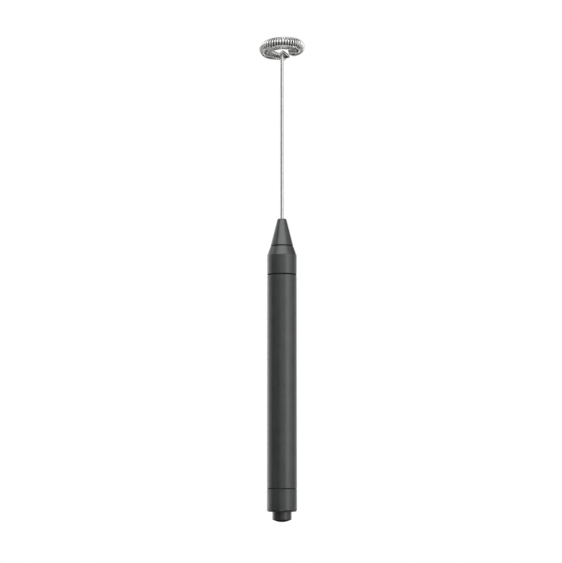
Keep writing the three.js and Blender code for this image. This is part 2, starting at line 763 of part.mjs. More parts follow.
const frother = new THREE.Group();

function add(name, geometry, material) {
  const mesh = new THREE.Mesh(geometry, material);
  mesh.name = name;
  frother.add(mesh);
}

add("barrel_tube", barrelTube(), darkMetal);
add("front_collar", frontCollar(), darkMetal);
add("nose_cone", noseCone(), darkMetal);
add("nose_bush", noseBush(), whitePlastic);
add("stem_seal", stemSeal(), rubber);

add("end_cap", endCap(), darkMetal);
add("cap_o_ring", capORing(), rubber);
add("button", button(), buttonPlastic);
add("switch_housing", switchHousing(), blackPlastic);
add("switch_plunger", switchPlunger(), whitePlastic);
add("switch_spring", switchSpring(), steel);
add("contact_plate", contactPlate(), brass);
add("switch_retaining_ring", switchRetainingRing(), brass);
add("tail_spring", tailSpring(), steel);

add("cell_rear", cell(REAR_CELL_Z), cellJacket);
add("cell_front", cell(FRONT_CELL_Z), cellJacket);
add("battery_liner", batteryLiner(), blackPlastic);
add("contact_board", contactBoard(), boardGreen);
add("plus_contact", plusContact(), brass);

add("motor_can", motorCan(), steel);
add("motor_end_bell", motorEndBell(), whitePlastic);
add("motor_rear_bush", motorBush(END_BELL_Z + 0.1, 1.2), bronze);
add("motor_front_bush", motorBush(MOTOR_FRONT_Z - 0.7, 1.3), bronze);
add("motor_brush_plus", brush(0), brass);
add("motor_brush_minus", brush(Math.PI), brass);
add("motor_magnet_north", magnet(Math.PI / 2), ferrite);
add("motor_magnet_south", magnet(-Math.PI / 2), ferrite);
add("motor_shaft", motorShaft(), steel);
add("motor_commutator", motorCommutator(), copper);
add("motor_armature", motorArmature(), iron);
for (let pole = 0; pole < POLES; pole++) {
  add(`motor_winding_${pole + 1}`, motorWinding(pole), copper);
}

add("stem_coupling", stemCoupling(), brass);
add("whisk_wire", whiskWire(), steel);
add("whisk_coil", whiskCoil(), steel);

export default frother;
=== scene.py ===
"""A slim battery milk frother in a plain white studio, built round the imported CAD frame.

Everything is in metres in the CAD's own frame: +Z runs along the spindle towards the whisk, and the
camera looks along +Y. Turned pieces are made again from their CAD section with fine segments and rounded
edges; wires and springs are swept along the same curves as in the CAD.
"""

import json
from math import asin, ceil, cos, pi, radians, sin, tan

import bmesh
import bpy
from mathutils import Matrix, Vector

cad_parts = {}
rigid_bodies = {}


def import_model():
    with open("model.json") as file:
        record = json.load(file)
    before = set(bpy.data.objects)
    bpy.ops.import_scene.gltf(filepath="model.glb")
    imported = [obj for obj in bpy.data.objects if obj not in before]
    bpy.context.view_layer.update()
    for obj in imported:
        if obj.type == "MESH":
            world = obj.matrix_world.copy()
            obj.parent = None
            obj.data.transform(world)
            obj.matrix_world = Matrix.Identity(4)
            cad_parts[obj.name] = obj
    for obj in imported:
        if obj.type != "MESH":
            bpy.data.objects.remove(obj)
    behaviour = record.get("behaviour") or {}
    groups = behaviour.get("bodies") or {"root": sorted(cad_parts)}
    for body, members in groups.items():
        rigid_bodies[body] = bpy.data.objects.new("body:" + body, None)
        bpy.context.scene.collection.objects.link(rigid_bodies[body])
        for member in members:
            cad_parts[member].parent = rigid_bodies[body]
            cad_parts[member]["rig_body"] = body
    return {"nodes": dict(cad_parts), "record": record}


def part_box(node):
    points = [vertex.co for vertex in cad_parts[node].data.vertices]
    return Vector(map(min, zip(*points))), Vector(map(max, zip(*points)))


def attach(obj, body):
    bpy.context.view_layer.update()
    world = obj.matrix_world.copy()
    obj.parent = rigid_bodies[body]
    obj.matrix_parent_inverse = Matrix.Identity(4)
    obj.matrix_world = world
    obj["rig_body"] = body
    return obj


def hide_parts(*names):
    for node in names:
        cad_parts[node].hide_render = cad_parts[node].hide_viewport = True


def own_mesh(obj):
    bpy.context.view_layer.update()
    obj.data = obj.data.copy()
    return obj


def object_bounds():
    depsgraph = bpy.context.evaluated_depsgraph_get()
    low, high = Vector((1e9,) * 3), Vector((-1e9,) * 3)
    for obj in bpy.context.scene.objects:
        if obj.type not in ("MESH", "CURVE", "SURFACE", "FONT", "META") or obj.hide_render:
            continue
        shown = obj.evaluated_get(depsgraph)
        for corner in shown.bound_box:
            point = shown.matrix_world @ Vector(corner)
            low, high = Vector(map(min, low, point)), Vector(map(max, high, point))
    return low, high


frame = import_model()
cad_box = [list(corner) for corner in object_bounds()]

MM = 0.001
FULL_TURN = 2 * pi
ON_AXIS = 1e-6  # nearer to the axis than this, a point lies on it
ON_PLANE = 1e-9  # nearer to a cutting plane than this, a vertex lies on it
SAME_POINT = 1e-6  # nearer to each other than this, two vertices are one


# ---- shape helpers ----

def mesh_object(name, verts, faces):
    mesh = bpy.data.meshes.new(name)
    mesh.from_pydata([tuple(v) for v in verts], [], faces)
    mesh.validate()
    mesh.shade_smooth()
    piece = bpy.data.objects.new(name, mesh)
    bpy.context.scene.collection.objects.link(piece)
    return piece


def chained(edges):
    """Closed loops of vertices, from edges that each share their vertices with two others."""
    beside = {}
    for edge in edges:
        a, b = edge.verts
        beside.setdefault(a, []).append(b)
        beside.setdefault(b, []).append(a)
    loops = []
    while beside:
        vert = next(iter(beside))
        loop = []
        while vert is not None:
            loop.append(vert)
            onward = [v for v in beside.pop(vert) if v in beside]
            vert = onward[0] if onward else None
        loops.append(loop)
    return loops


def bend(start, corner, end, t):
    """A point on the curve that leaves start and reaches end along the lines to the corner."""
    return start * (1 - t) ** 2 + corner * (2 * t * (1 - t)) + end * t ** 2


SHORTEST_EDGE = 1e-7
LEAST_TURN = 1e-3  # the sine of the angle by which an outline turns at a point that is kept


def without_straight_points(points):
    """The outline without the points that lie on a straight line between their neighbours."""
    kept = []
    for i, here in enumerate(points):
        before, after = points[i - 1], points[(i + 1) % len(points)]
        a, b = here - before, after - here
        if a.length > SHORTEST_EDGE and abs(a.cross(b)) > LEAST_TURN * a.length * b.length:
            kept.append(here)
    return kept


SECTION_AZIMUTH = radians(-90.01)  # by a corner of the CAD's polygons, where their radius is full


def section(node):
    """A turned CAD node's outline on one side of the axis, as (radius, z) points in order."""
    across = Vector((cos(SECTION_AZIMUTH), sin(SECTION_AZIMUTH), 0))
    normal = Vector((-sin(SECTION_AZIMUTH), cos(SECTION_AZIMUTH), 0))
    bm = bmesh.new()
    bm.from_mesh(frame["nodes"][node].data)
    bmesh.ops.remove_doubles(bm, verts=bm.verts, dist=SAME_POINT)
    everything = bm.verts[:] + bm.edges[:] + bm.faces[:]
    cut = bmesh.ops.bisect_plane(bm, geom=everything, plane_co=(0, 0, 0), plane_no=normal, dist=ON_PLANE)
    edges = [g for g in cut["geom_cut"] if isinstance(g, bmesh.types.BMEdge)]
    loops = [[Vector((v.co.dot(across), v.co.z)) for v in loop] for loop in chained(edges)]
    bm.free()
    loop = max(loops, key=lambda points: max(p.x for p in points))
    if min(p.x for p in loop) > 0:
        return without_straight_points(loop)
    first = next(i for i, p in enumerate(loop) if p.x > ON_AXIS and loop[i - 1].x <= ON_AXIS)
    loop = loop[first:] + loop[:first]
    half = [p for p in loop if p.x > ON_AXIS]
    closed = [Vector((0, half[0].y))] + half + [Vector((0, half[-1].y))]
    return without_straight_points(closed)


LONGEST_REACH = 0.3  # the share of an edge that the rounding of its corner may take
HOLD = 0.35  # how far beyond an arc its holding point lies, as a share of the arc's reach
ARC_STEPS = 3


def rounded(outline, radius):
    """The outline with each corner off the axis turned into an arc, and a point just beyond each
    arc that keeps the long faces' shading flat."""
    points = []
    for i, corner in enumerate(outline):
        if corner.x < ON_AXIS:
            points.append(corner)
            continue
        back = outline[i - 1] - corner
        on = outline[(i + 1) % len(outline)] - corner
        turn = pi - back.angle(on)
        shorter = min(back.length, on.length)
        reach = min(radius * tan(turn / 2), LONGEST_REACH * shorter)
        start = corner + back.normalized() * reach
        end = corner + on.normalized() * reach
        hold = HOLD * reach
        points.append(start + back.normalized() * hold)
        for step in range(ARC_STEPS + 1):
            points.append(bend(start, corner, end, step / ARC_STEPS))
        points.append(end + on.normalized() * hold)
    return points


class Thread:
    """A screw thread cut into one cylinder of a turned piece, fading out at both ends. It is as deep
    as depth; a negative depth cuts outwards, into a bore."""

    ROWS_PER_TURN = 8
    CREST_TOLERANCE = 0.01 * MM

    def __init__(self, crest, depth, pitch, low, high):
        self.crest = crest
        self.depth = depth
        self.pitch = pitch
        self.low = low
        self.high = high

    def on_crest(self, radius):
        return abs(radius - self.crest) < self.CREST_TOLERANCE

    def rows(self, outline):
        """The outline with short steps where the thread runs."""
        points = []
        for i, here in enumerate(outline):
            after = outline[(i + 1) % len(outline)]
            points.append(here)
            rise = after.y - here.y
            if not (self.on_crest(here.x) and self.on_crest(after.x)) or rise == 0:
                continue
            start, end = sorted(min(max((z - here.y) / rise, 0.0), 1.0) for z in (self.low, self.high))
            steps = ceil((end - start) * abs(rise) / self.pitch * self.ROWS_PER_TURN)
            for step in range(steps + 1):
                t = start + (end - start) * step / max(steps, 1)
                if 0 < t < 1:
                    points.append(here.lerp(after, t))
        return points

    def relief(self, radius, z, azimuth):
        if not self.on_crest(radius):
            return radius
        fade = smooth((z - self.low) / self.pitch) * smooth((self.high - z) / self.pitch)
        phase = (z / self.pitch - azimuth / FULL_TURN) % 1
        return radius - self.depth * fade * (1 - abs(2 * phase - 1))


def turned(name, outline, segments, relief=None):
    """Turns an outline about the Z axis. relief(radius, z, azimuth) gives a point's new radius."""
    verts = []
    rows = []
    for point in outline:
        if point.x < ON_AXIS:
            rows.append([len(verts)] * segments)
            verts.append((0, 0, point.y))
            continue
        rows.append(list(range(len(verts), len(verts) + segments)))
        for i in range(segments):
            azimuth = FULL_TURN * i / segments
            radius = relief(point.x, point.y, azimuth) if relief else point.x
            verts.append((radius * cos(azimuth), radius * sin(azimuth), point.y))
    faces = []
    for row, above in zip(rows, rows[1:] + rows[:1]):
        for i in range(segments):
            j = (i + 1) % segments
            corners = list(dict.fromkeys((row[i], row[j], above[j], above[i])))
            if len(corners) > 2:
                faces.append(corners)
    piece = mesh_object(name, verts, faces)
    face_outwards(piece)
    return piece


def face_outwards(piece):
    bm = bmesh.new()
    bm.from_mesh(piece.data)
    bmesh.ops.recalc_face_normals(bm, faces=bm.faces)
    bm.to_mesh(piece.data)
    bm.free()


# How far out the rows of a wire's end lie, and how wide they are, both as shares of its radius.
WIRE_END = ((0.45, 0.66), (0.24, 0.92))


def swept(name, points, radius, sides):
    """A round wire through the points, with rounded ends."""
    tangents = []
    for i in range(len(points)):
        step = points[min(i + 1, len(points) - 1)] - points[max(i - 1, 0)]
        tangents.append(step.normalized())
    side = tangents[0].orthogonal().normalized()
    verts = []
    rings = []

    def ring(centre, tangent, wide):
        up = tangent.cross(side)
        rings.append(range(len(verts), len(verts) + sides))
        for k in range(sides):
            angle = FULL_TURN * k / sides
            verts.append(centre + (side * cos(angle) + up * sin(angle)) * wide)

    for reach, width in WIRE_END:
        ring(points[0] - tangents[0] * radius * reach, tangents[0], radius * width)
    for point, tangent in zip(points, tangents):
        side = (side - tangent * side.dot(tangent)).normalized()
        ring(point, tangent, radius)
    for reach, width in reversed(WIRE_END):
        ring(points[-1] + tangents[-1] * radius * reach, tangents[-1], radius * width)
    faces = [tuple(reversed(rings[0])), tuple(rings[-1])]
    for a, b in zip(rings, rings[1:]):
        for k in range(sides):
            m = (k + 1) % sides
            faces.append((a[k], a[m], b[m], b[k]))
    return mesh_object(name, verts, faces)


def around(radius, azimuth, z=0.0):
    return Vector((radius * cos(azimuth), radius * sin(azimuth), z))


def smooth(t):
    t = min(max(t, 0.0), 1.0)
    return t * t * (3 - 2 * t)


# ---- materials ----

NOISE_LOW = 0.3  # most of a noise texture's values lie between these
NOISE_HIGH = 0.7


class Finish:
    """A material with a Principled shader, and short calls for the nodes that give it its grain."""

    def __init__(self, name, roughness, metallic=0.0, **sockets):
        self.material = bpy.data.materials.new(name)
        self.material.use_nodes = True
        self.tree = self.material.node_tree
        self.shader = self.tree.nodes["Principled BSDF"]
        self.shader.inputs["Metallic"].default_value = metallic
        self.shader.inputs["Roughness"].default_value = roughness
        for socket, value in sockets.items():
            self.shader.inputs[socket.replace("_", " ")].default_value = value
        self.place = self.node("ShaderNodeTexCoord").outputs["Object"]
        self.bumps = None

    def node(self, kind, **settings):
        node = self.tree.nodes.new(kind)
        for name, value in settings.items():
            setattr(node, name, value)
        return node

    def join(self, source, target):
        self.tree.links.new(source, target)

    def noise(self, scale, detail=3.0, stretch=(1, 1, 1)):
        """Noise of about `scale` grains to the metre, drawn out along the axes with a small stretch."""
        mapping = self.node("ShaderNodeMapping")
        mapping.inputs["Scale"].default_value = stretch
        texture = self.node("ShaderNodeTexNoise")
        texture.inputs["Scale"].default_value = scale
        texture.inputs["Detail"].default_value = detail
        self.join(self.place, mapping.inputs["Vector"])
        self.join(mapping.outputs["Vector"], texture.inputs["Vector"])
        return texture.outputs["Fac"]

    def from_axis(self):
        """The distance from the Z axis, in metres."""
        apart = self.node("ShaderNodeSeparateXYZ")
        flat = self.node("ShaderNodeCombineXYZ")
        length = self.node("ShaderNodeVectorMath", operation="LENGTH")
        self.join(self.place, apart.inputs["Vector"])
        self.join(apart.outputs["X"], flat.inputs["X"])
        self.join(apart.outputs["Y"], flat.inputs["Y"])
        self.join(flat.outputs["Vector"], length.inputs[0])
        return length.outputs["Value"]

    def between(self, source, low, high, start=NOISE_LOW, end=NOISE_HIGH):
        """A number from low to high as the source goes from start to end."""
        span = self.node("ShaderNodeMapRange")
        span.inputs["From Min"].default_value = start
        span.inputs["From Max"].default_value = end
        span.inputs["To Min"].default_value = low
        span.inputs["To Max"].default_value = high
        self.join(source, span.inputs["Value"])
        return span.outputs["Result"]

    def colour(self, source, first, second):
        """The base colour, from first to second as the source goes over a noise's range."""
        ramp = self.node("ShaderNodeValToRGB")
        ramp.color_ramp.elements[0].position = NOISE_LOW
        ramp.color_ramp.elements[1].position = NOISE_HIGH
        ramp.color_ramp.elements[0].color = (*first, 1)
        ramp.color_ramp.elements[1].color = (*second, 1)
        self.join(source, ramp.inputs["Fac"])
        self.join(ramp.outputs["Color"], self.shader.inputs["Base Color"])
        return self

    def rough(self, source, low, high):
        self.join(self.between(source, low, high), self.shader.inputs["Roughness"])
        return self

    def bump(self, source, depth):
        """Adds a relief of that depth in metres."""
        bump = self.node("ShaderNodeBump")
        bump.inputs["Distance"].default_value = depth
        self.join(source, bump.inputs["Height"])
        if self.bumps is not None:
            self.join(self.bumps, bump.inputs["Normal"])
        self.bumps = bump.outputs["Normal"]
        self.join(self.bumps, self.shader.inputs["Normal"])
        return self


def dark_anodised():
    """Bead-blasted and anodised aluminium: a fine even grain, and a slight cloudiness in its grey."""
    finish = Finish("dark_anodised", 0.36, metallic=0.85)
    grain = finish.noise(9000, detail=4)
    clouds = finish.noise(160, detail=3)
    finish.colour(clouds, (0.105, 0.110, 0.108), (0.122, 0.128, 0.126))
    finish.rough(clouds, 0.33, 0.38)
    return finish.bump(grain, 0.006 * MM).material


def button_black():
    finish = Finish("button_black", 0.3, Specular_IOR_Level=1.0)
    grain = finish.noise(5000, detail=4)
    finish.colour(finish.noise(300), (0.012, 0.012, 0.012), (0.018, 0.018, 0.018))
    finish.rough(grain, 0.26, 0.34)
    return finish.bump(grain, 0.01 * MM).material


def polished_steel():
    """Drawn wire: bright, with faint lines and a little unevenness along its length."""
    finish = Finish("polished_steel", 0.14, metallic=1.0, Specular_Tint=(0.4, 0.4, 0.4, 1))
    drawn = finish.noise(6000, detail=2, stretch=(1, 1, 0.02))
    finish.colour(finish.noise(900), (0.70, 0.70, 0.69), (0.80, 0.80, 0.79))
    finish.rough(drawn, 0.12, 0.20)
    return finish.bump(drawn, 0.002 * MM).material


def ring_steel_painted_shade():
    """Painted shade: the ring's wire under its coil, coloured near black where the coil shades it, and
    rough.
    """
    finish = Finish("ring_steel_painted_shade", 0.4, metallic=1.0)
    finish.colour(finish.noise(1500), (0.07, 0.07, 0.068), (0.12, 0.118, 0.114))
    finish.rough(finish.noise(5000), 0.34, 0.46)
    return finish.material


# Painted shade on the coil's inner side: full up to the first distance, gone from the second on.
COIL_SHADE_TO = 7.2 * MM  # from the axis
COIL_UNSHADED_FROM = 9 * MM


def coil_painted_shade():
    """The coil's spring wire, bright and polished, with painted shade darkening its side towards the stem.
    """
    finish = Finish("coil_painted_shade", 0.2, metallic=1.0)
    outward = finish.between(
        finish.from_axis(), NOISE_LOW, NOISE_HIGH, start=COIL_SHADE_TO, end=COIL_UNSHADED_FROM,
    )
    finish.colour(outward, (0.55, 0.55, 0.54), (0.88, 0.88, 0.87))
    finish.rough(finish.noise(4000), 0.08, 0.14)
    return finish.material


def spring_steel():
    finish = Finish("spring_steel", 0.25, metallic=1.0)
    finish.colour(finish.noise(1500), (0.50, 0.50, 0.51), (0.62, 0.62, 0.62))
    finish.rough(finish.noise(4000), 0.2, 0.32)
    return finish.material


def motor_steel():
    finish = Finish("motor_steel", 0.3, metallic=1.0)
    finish.colour(finish.noise(700), (0.55, 0.55, 0.53), (0.66, 0.66, 0.65))
    finish.rough(finish.noise(2500), 0.24, 0.36)
    return finish.bump(finish.noise(9000), 0.002 * MM).material


def groove_painted_shade():
    """Painted shade: metal in the bottom of a seam, unpolished and coloured black where shade falls."""
    finish = Finish("groove_painted_shade", 0.85, Specular_IOR_Level=0.2)
    finish.colour(finish.noise(2500), (0.030, 0.030, 0.030), (0.042, 0.042, 0.042))
    return finish.bump(finish.noise(6000), 0.01 * MM).material


def black_rubber():
    finish = Finish("black_rubber", 0.7)
    finish.colour(finish.noise(2500), (0.012, 0.012, 0.012), (0.022, 0.022, 0.022))
    return finish.bump(finish.noise(6000), 0.01 * MM).material


def moulded(name, first, second, roughness):
    finish = Finish(name, roughness)
    grain = finish.noise(4500, detail=4)
    finish.colour(finish.noise(350), first, second)
    finish.rough(grain, roughness - 0.06, roughness + 0.06)
    return finish.bump(grain, 0.006 * MM).material


def turned_metal(name, first, second, roughness):
    """Machined metal with fine tool rings along its axis."""
    finish = Finish(name, roughness, metallic=1.0)
    rings = finish.noise(5000, detail=2, stretch=(0.02, 0.02, 1))
    finish.colour(finish.noise(900), first, second)
    finish.rough(rings, roughness - 0.07, roughness + 0.07)
    return finish.bump(rings, 0.003 * MM).material


def sintered(name, first, second, metallic):
    finish = Finish(name, 0.6, metallic=metallic)
    pores = finish.noise(5000, detail=5)
    finish.colour(pores, first, second)
    finish.rough(pores, 0.5, 0.7)
    return finish.bump(pores, 0.015 * MM).material


LAMINATION_WAVE = 1000  # the texture's scale, which gives sheets 0.3 mm thick


def lamination():
    """Thin iron sheets stacked along the shaft."""
    finish = Finish("lamination", 0.45, metallic=0.9)
    wave = finish.node("ShaderNodeTexWave", wave_type="BANDS", bands_direction="Z")
    wave.inputs["Scale"].default_value = LAMINATION_WAVE
    finish.join(finish.place, wave.inputs["Vector"])
    finish.colour(wave.outputs["Fac"], (0.12, 0.12, 0.12), (0.32, 0.33, 0.34))
    return finish.bump(wave.outputs["Fac"], 0.03 * MM).material


def cell_jacket():
    """The shrink sleeve of a cell, plain and slightly metallic."""
    finish = Finish("cell_jacket", 0.3, metallic=0.45)
    finish.colour(finish.noise(200), (0.085, 0.12, 0.15), (0.105, 0.145, 0.18))
    finish.rough(finish.noise(1200), 0.27, 0.33)
    return finish.bump(finish.noise(250, detail=2), 0.01 * MM).material


MATERIALS = {
    "dark_anodised": dark_anodised(),
    "button_black": button_black(),
    "polished_steel": polished_steel(),
    "coil_painted_shade": coil_painted_shade(),
    "ring_steel_painted_shade": ring_steel_painted_shade(),
    "spring_steel": spring_steel(),
    "motor_steel": motor_steel(),
    "groove_painted_shade": groove_painted_shade(),
    "black_rubber": black_rubber(),
    "black_plastic": moulded("black_plastic", (0.016, 0.016, 0.017), (0.026, 0.026, 0.027), 0.5),
    "white_plastic": moulded("white_plastic", (0.72, 0.70, 0.65), (0.80, 0.79, 0.75), 0.45),
    "green_board": moulded("green_board", (0.012, 0.10, 0.035), (0.02, 0.14, 0.05), 0.35),
    "brass": turned_metal("brass", (0.68, 0.48, 0.19), (0.78, 0.58, 0.26), 0.28),
    "bronze": sintered("bronze", (0.36, 0.19, 0.08), (0.50, 0.29, 0.14), 1.0),
    "copper": turned_metal("copper", (0.50, 0.20, 0.08), (0.66, 0.30, 0.14), 0.32),
    "magnet": sintered("magnet", (0.035, 0.035, 0.038), (0.06, 0.06, 0.065), 0.2),
    "lamination": lamination(),
    "cell_jacket": cell_jacket(),
}

slot_of = {row["node"]: row["material_slot"] for row in frame["record"]["subparts"]}


# ---- pieces ----

def take_over(piece, node):
    """The piece rides and looks as its CAD node does, and is shown in its place."""
    piece.data.materials.append(MATERIALS[slot_of[node]])
    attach(piece, frame["nodes"][node]["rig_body"])
    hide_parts(node)
    return piece


def fine_turned(node, rounding, segments, thread=None):
    """The CAD node turned again with fine segments and rounded edges."""
    outline = rounded(section(node), rounding)
    if thread:
        outline = thread.rows(outline)
    piece = turned("fine_" + node, outline, segments, thread.relief if thread else None)
    return take_over(piece, node)


def repaint(piece, slot, chosen):
    """Gives the faces that pass the test another material."""
    piece.data.materials.append(MATERIALS[slot])
    index = len(piece.data.materials) - 1
    for face in piece.data.polygons:
        if chosen(face):
            face.material_index = index


def off_axis(face):
    return face.center.xy.length


SEAMED_SHELLS = ["barrel_tube", "front_collar", "nose_cone", "end_cap"]
INNER_TURNED = [
    "nose_bush", "stem_seal", "cap_o_ring", "switch_housing", "switch_plunger", "contact_plate",
    "battery_liner", "contact_board", "plus_contact", "motor_can", "motor_rear_bush", "motor_front_bush",
    "motor_shaft", "motor_commutator", "stem_coupling",
]

SHELL_ROUNDING = 0.12 * MM
SHELL_SEGMENTS = 128
INNER_ROUNDING = 0.08 * MM
INNER_SEGMENTS = 64

GAP = 0.3 * MM  # between two pieces that meet face to face
BORE_RADIUS = 6.4 * MM
SPIGOT_RADIUS = 6.2 * MM
CAP_SEAM_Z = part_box("barrel_tube")[0].z - GAP
SPIGOT_TOP_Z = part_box("end_cap")[1].z
O_RING_ROOM = 1.6 * MM  # from the seam up, free of thread
THREAD_PITCH = 0.75 * MM
THREAD_DEPTH = 0.2 * MM
THREAD_MARGIN = 0.3 * MM  # by which one thread begins or ends before the other
CAP_THREAD = (CAP_SEAM_Z + O_RING_ROOM, SPIGOT_TOP_Z - THREAD_MARGIN)
BARREL_THREAD = (CAP_SEAM_Z + O_RING_ROOM + THREAD_MARGIN, SPIGOT_TOP_Z)
THREADS = {
    "end_cap": Thread(SPIGOT_RADIUS, THREAD_DEPTH, THREAD_PITCH, *CAP_THREAD),
    "barrel_tube": Thread(BORE_RADIUS, -THREAD_DEPTH, THREAD_PITCH, *BARREL_THREAD),
}

BARREL_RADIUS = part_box("barrel_tube")[1].x
GROOVES = (  # between the shells: the height of the lower edge, and the shell's radius there
    (CAP_SEAM_Z, BARREL_RADIUS),
    (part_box("barrel_tube")[1].z, BARREL_RADIUS),
    (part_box("front_collar")[1].z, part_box("nose_cone")[1].x),
)
GROOVE_MARGIN = 0.1 * MM
GROOVE_WIDTH = 0.46 * MM  # of the widest one, in the cone
OUTER_FACE = 0.8  # how squarely a face of the shell's outside looks away from the axis, at least


def paint_groove_shade(shell):
    """Painted shade: a matt black on the walls and the floors of the grooves that part the shells."""

    def in_groove(face):
        heights = [shell.data.vertices[i].co.z for i in face.vertices]
        outward = face.normal.xy.dot(face.center.xy.normalized())
        for foot, radius in GROOVES:
            low, high = foot - GROOVE_MARGIN, foot + GROOVE_WIDTH + GROOVE_MARGIN
            sunk = outward < OUTER_FACE or off_axis(face) < radius - GROOVE_MARGIN
            if sunk and max(heights) > low and min(heights) < high:
                return True
        return False

    repaint(shell, "groove_painted_shade", in_groove)


for node in SEAMED_SHELLS:
    shell = fine_turned(node, SHELL_ROUNDING, SHELL_SEGMENTS, THREADS.get(node))
    paint_groove_shade(shell)
fine_turned("button", SHELL_ROUNDING, SHELL_SEGMENTS)
for node in INNER_TURNED:
    fine_turned(node, INNER_ROUNDING, INNER_SEGMENTS)


# ---- cells ----

NUB_HEIGHT = 1 * MM
NUB_RADIUS = 1.9 * MM
WASHER_GAP = 0.4 * MM  # between the nub and the washer round it
SLEEVE_LAP = 0.9 * MM  # how far the sleeve comes in over the ends
SLEEVE_THICKNESS = 0.05 * MM
BASE_RECESS = 0.15 * MM
BASE_RIM = 0.3 * MM
CRIMP_BELOW_SHOULDER = 2.2 * MM
CRIMP_DEPTH = 0.12 * MM
CRIMP_FLOOR = 0.1 * MM  # half the width of the crimp line, at its floor and at its mouth
CRIMP_MOUTH = 0.5 * MM
CELL_ROUNDING = 0.3 * MM
CELL_SEGMENTS = 96


def cell(node):
    """A AAA cell in a plain sleeve shrunk over its ends: a recessed steel base, a crimp line near the
    other end, and a washer round the nub."""
    low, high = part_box(node)
    foot, top, radius = low.z, high.z, high.x
    shoulder = top - NUB_HEIGHT
    sleeve_edge = radius - SLEEVE_LAP
    washer_edge = NUB_RADIUS + WASHER_GAP
    crimp = shoulder - CRIMP_BELOW_SHOULDER
    outline = [
        (0, foot + BASE_RECESS),
        (sleeve_edge - BASE_RIM - BASE_RECESS, foot + BASE_RECESS),
        (sleeve_edge - BASE_RIM, foot + SLEEVE_THICKNESS),
        (sleeve_edge, foot + SLEEVE_THICKNESS),
        (sleeve_edge, foot),
        (radius, foot),
        (radius, crimp - CRIMP_MOUTH),
        (radius - CRIMP_DEPTH, crimp - CRIMP_FLOOR),
        (radius - CRIMP_DEPTH, crimp + CRIMP_FLOOR),
        (radius, crimp + CRIMP_MOUTH),
        (radius, shoulder),
        (sleeve_edge, shoulder),
        (sleeve_edge, shoulder - BASE_RECESS),
        (washer_edge, shoulder - BASE_RECESS),
        (washer_edge, shoulder - 2 * BASE_RECESS),
        (NUB_RADIUS, shoulder - 2 * BASE_RECESS),
        (NUB_RADIUS, top),
        (0, top),
    ]
    points = rounded([Vector(point) for point in outline], CELL_ROUNDING)
    piece = take_over(turned("fine_" + node, points, CELL_SEGMENTS), node)
    middle = (foot + top) / 2

    def is_washer(face):
        return face.center.z > middle and washer_edge < off_axis(face) < sleeve_edge

    def is_bare_steel(face):
        return off_axis(face) < (sleeve_edge if face.center.z < middle else washer_edge)

    repaint(piece, "white_plastic", is_washer)
    repaint(piece, "motor_steel", is_bare_steel)


cell("cell_rear")
cell("cell_front")


# ---- springs ----

SPRING_ROWS_PER_TURN = 40
SPRING_SIDES = 12
CLOSED_ENDS = 0.3  # how much flatter the end turns are than the middle ones, from 0 to 1


def coil_spring(node, foot_radius, top_radius, turns, wire_radius):
    """A spring on the axis, between its CAD node's ends; its end turns lie closer together."""
    low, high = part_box(node)
    foot, top = low.z + wire_radius, high.z - wire_radius
    steps = ceil(turns * SPRING_ROWS_PER_TURN)
    points = []
    for i in range(steps + 1):
        t = i / steps
        climb = t + (smooth(t) - t) * CLOSED_ENDS
        radius = foot_radius + (top_radius - foot_radius) * t
        points.append(around(radius, FULL_TURN * turns * t, foot + (top - foot) * climb))
    return take_over(swept("fine_" + node, points, wire_radius, SPRING_SIDES), node)


coil_spring("tail_spring", foot_radius=3 * MM, top_radius=1.9 * MM, turns=4.5, wire_radius=0.25 * MM)
switch_spring = coil_spring(
    "switch_spring", foot_radius=1.6 * MM, top_radius=1.6 * MM, turns=4, wire_radius=0.15 * MM,
)


# ---- motor windings ----

POLES = 3
WINDING_LAYERS = 2
WINDING_TURNS = 3  # in each layer
WINDING_WIRE = 0.1 * MM
WINDING_INNER = 1.6 * MM  # where the layers begin and end along the arm, from the axis
WINDING_OUTER = 2.04 * MM
WINDING_HALF_WIDTH = 0.75 * MM
WINDING_END_MARGIN = 0.2 * MM
WINDING_ROWS_PER_TURN = 48
WINDING_SIDES = 8


def racetrack(turn, half_width, half_length):
    """A point on a rectangle with round ends, at a share of one turn."""
    angle = FULL_TURN * turn
    straight = half_length - half_width
    across = half_width * cos(angle)
    along = half_width * sin(angle) + (straight if sin(angle) > 0 else -straight)
    return across, along


def winding(pole):
    """Enamelled wire wound round one arm of the armature, in two layers."""
    node = f"motor_winding_{pole + 1}"
    low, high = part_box(node)
    middle = (low.z + high.z) / 2
    half_length = (high.z - low.z) / 2 - WINDING_WIRE
    azimuth = FULL_TURN * pole / POLES
    arm = around(1, azimuth)
    side = around(1, azimuth + pi / 2)
    steps = WINDING_LAYERS * WINDING_TURNS * WINDING_ROWS_PER_TURN
    points = []
    for i in range(steps + 1):
        t = i / steps * WINDING_LAYERS
        layer = min(int(t), WINDING_LAYERS - 1)
        share = t - layer if layer % 2 == 0 else 1 - (t - layer)
        lift = 2 * WINDING_WIRE * layer
        turn = i / WINDING_ROWS_PER_TURN
        across, along = racetrack(turn, WINDING_HALF_WIDTH + lift, half_length - WINDING_END_MARGIN + lift)
        out = WINDING_INNER + (WINDING_OUTER - WINDING_INNER) * share
        centre = arm * out + Vector((0, 0, middle + along))
        points.append(centre + side * across)
    take_over(swept("fine_" + node, points, WINDING_WIRE, WINDING_SIDES), node)


for pole in range(POLES):
    winding(pole)


# ---- pieces pressed, stamped or moulded with straight edges ----

FLAT = radians(1)  # faces that meet at less than this are one face
CORNER = radians(30)  # edges sharper than this are rounded off
CREASE = radians(35)  # edges still sharper than this afterwards are shaded as sharp
BEVEL_SEGMENTS = 2


